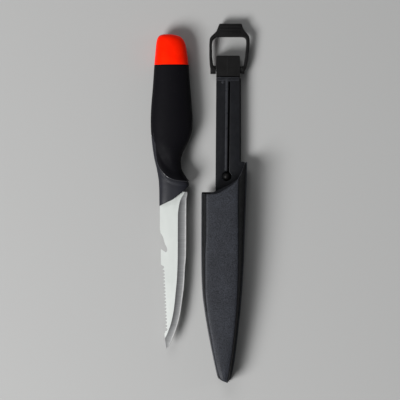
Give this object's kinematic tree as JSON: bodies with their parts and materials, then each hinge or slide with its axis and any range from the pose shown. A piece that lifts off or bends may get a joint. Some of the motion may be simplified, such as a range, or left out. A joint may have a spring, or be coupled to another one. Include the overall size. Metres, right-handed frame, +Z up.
{
  "type": "rigging knife",
  "caption": "Floating rigging knife with line-cutter hook, saw back and soft grip, beside its moulded belt sheath with a locking bail.",
  "frame": {"origin": "on the table, under the middle of the pair's bounding box", "axes": "+Y from the blade's point to the cap and the bail, +X from the knife to the sheath, +Z up from the table"},
  "size_m": [0.0726, 0.2624, 0.0289],
  "materials": {
    "steel": "satin stainless, ground across the bevel",
    "core_plastic": "smooth dark grey moulding",
    "grip_rubber": "soft-touch black overmould",
    "cap_plastic": "bright orange-red, semi-gloss",
    "float_foam": "closed-cell foam",
    "seal_rubber": "smooth black rubber",
    "sheath_plastic": "fine-textured charcoal moulding",
    "strap_plastic": "satin black moulding",
    "block_plastic": "satin black moulding"
  },
  "bodies": {
    "sheath": {"sheath_shell": "sheath_plastic", "sheath_back": "strap_plastic", "head_block": "block_plastic", "bail_axle": "steel", "bail_spacer": "seal_rubber", "tongue_pin": "steel"},
    "bail": {"bail": "block_plastic"},
    "tongue": {"belt_tongue": "strap_plastic", "snap_stud": "block_plastic"},
    "knife": {"blade": "steel", "core_front": "core_plastic", "core_back": "core_plastic", "grip_sleeve": "grip_rubber", "tang_pins": "steel", "float_front": "float_foam", "float_back": "float_foam", "end_cap": "cap_plastic", "cap_seal": "seal_rubber"}
  },
  "joints": [
    {"name": "knife_draw", "type": "slide", "parent": "sheath", "child": "knife", "axis": [0, 1, 0], "range_m": [0, 0.15]},
    {"name": "bail_swing", "type": "hinge", "parent": "sheath", "child": "bail", "pos_m": [0.0197, 0.0974, 0.0056], "axis": [1, 0, 0], "range_deg": [-90, 160]},
    {"name": "tongue_open", "type": "hinge", "parent": "sheath", "child": "tongue", "pos_m": [0.0197, 0.0939, 0.0022], "axis": [1, 0, 0], "range_deg": [0, 40]}
  ]
}
